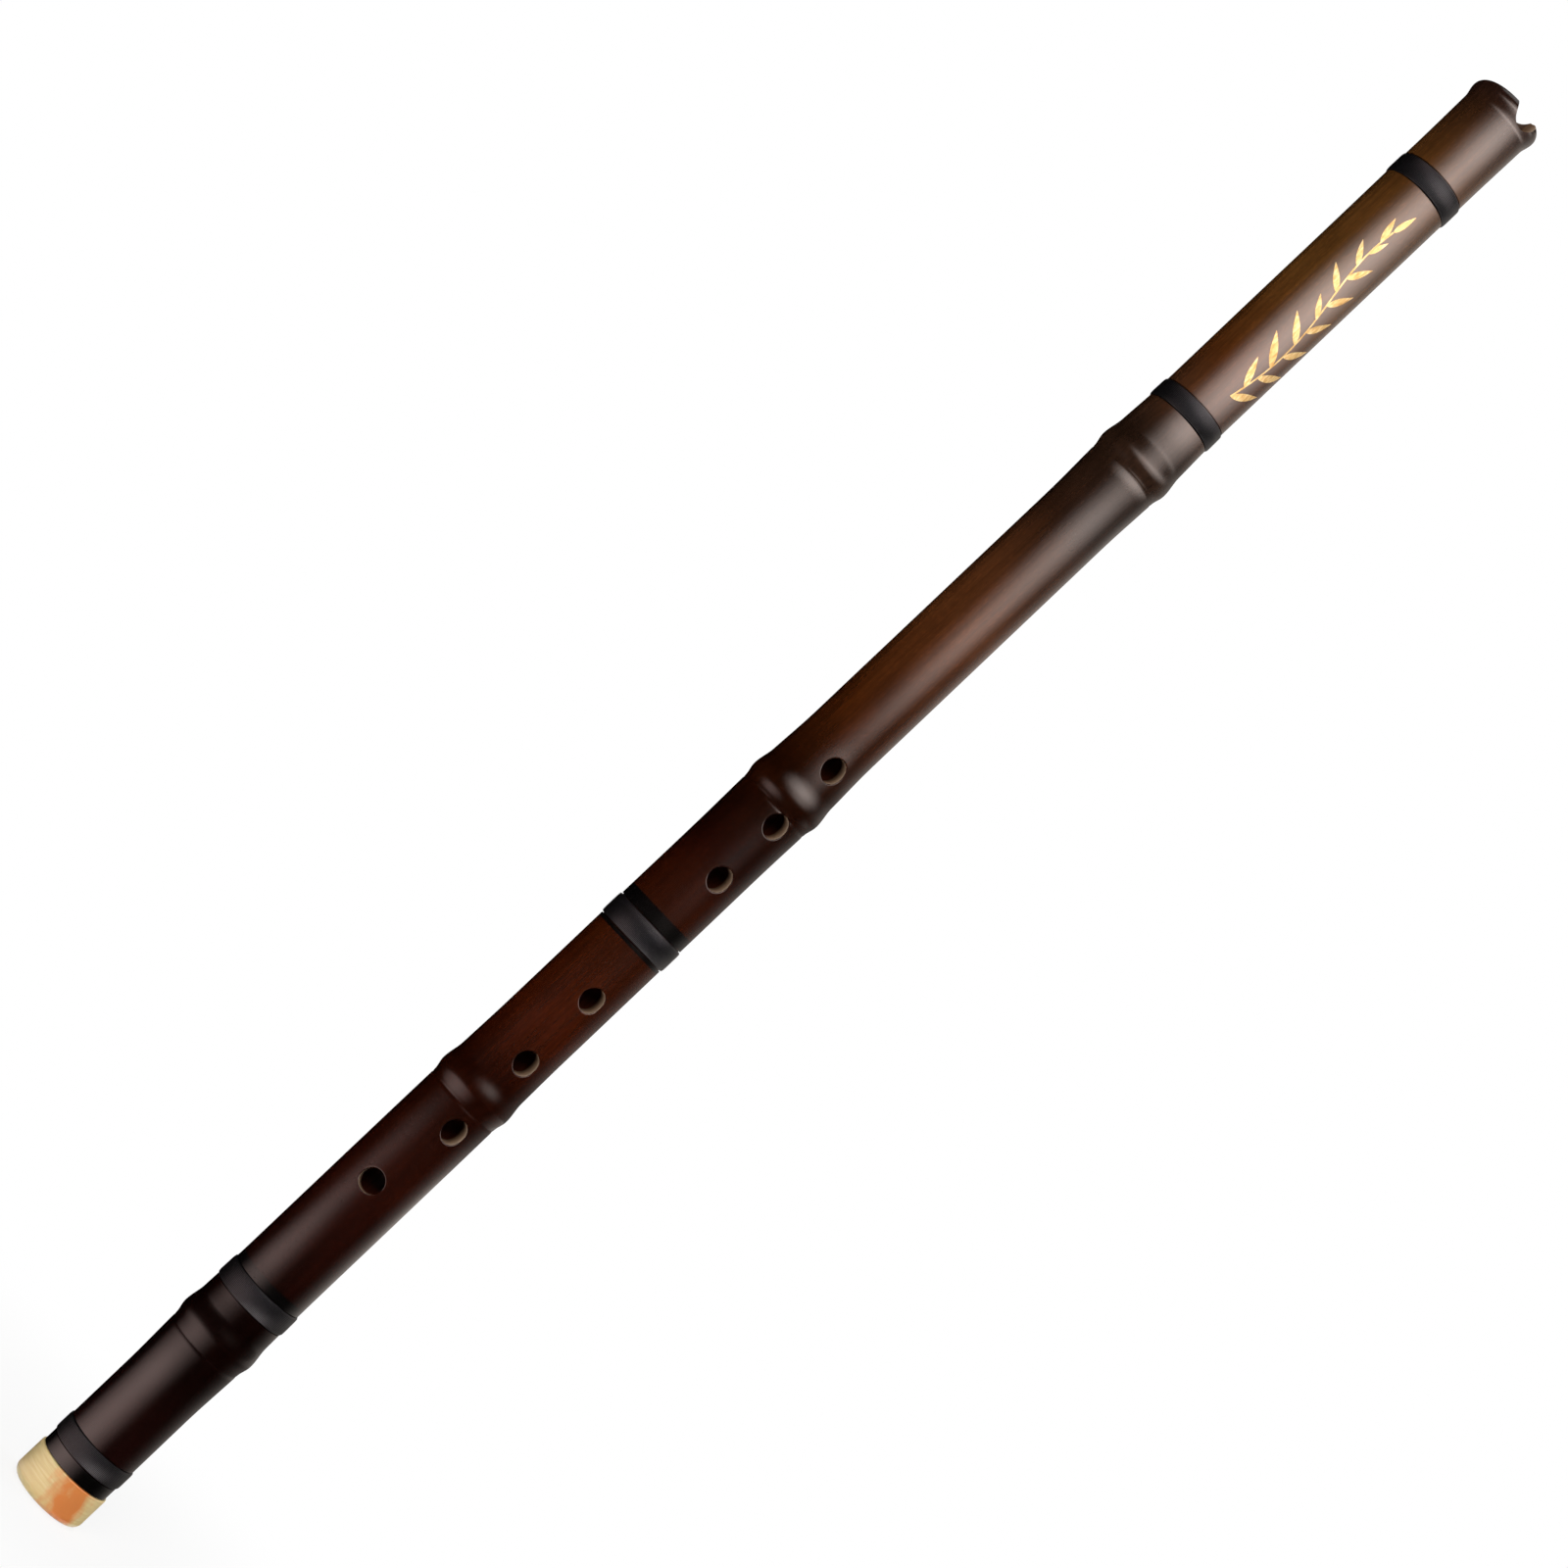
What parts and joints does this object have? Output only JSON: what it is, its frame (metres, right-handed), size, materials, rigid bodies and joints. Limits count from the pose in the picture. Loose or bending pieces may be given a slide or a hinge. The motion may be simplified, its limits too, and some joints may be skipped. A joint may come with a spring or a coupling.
{
  "type": "xiao",
  "caption": "End-blown vertical bamboo flute with a closed notched head, finger and thumb holes, black thread bindings and a pale horn tail ring.",
  "frame": {"origin": "centre of the tail ring's end face", "axes": "+Z along the bore from the tail to the blowing end, -Y towards the finger holes and the blowing notch"},
  "size_m": [0.0332, 0.0332, 0.72],
  "materials": {
    "bamboo": "dark bamboo under gloss lacquer",
    "binding": "thread winding under black gloss lacquer",
    "horn": "turned and polished pale horn"
  },
  "bodies": {
    "root": {"bamboo_tube": "bamboo", "binding_tail": "binding", "binding_lower": "binding", "binding_middle": "binding", "binding_upper": "binding", "binding_head": "binding", "tail_ring": "horn"}
  },
  "joints": []
}
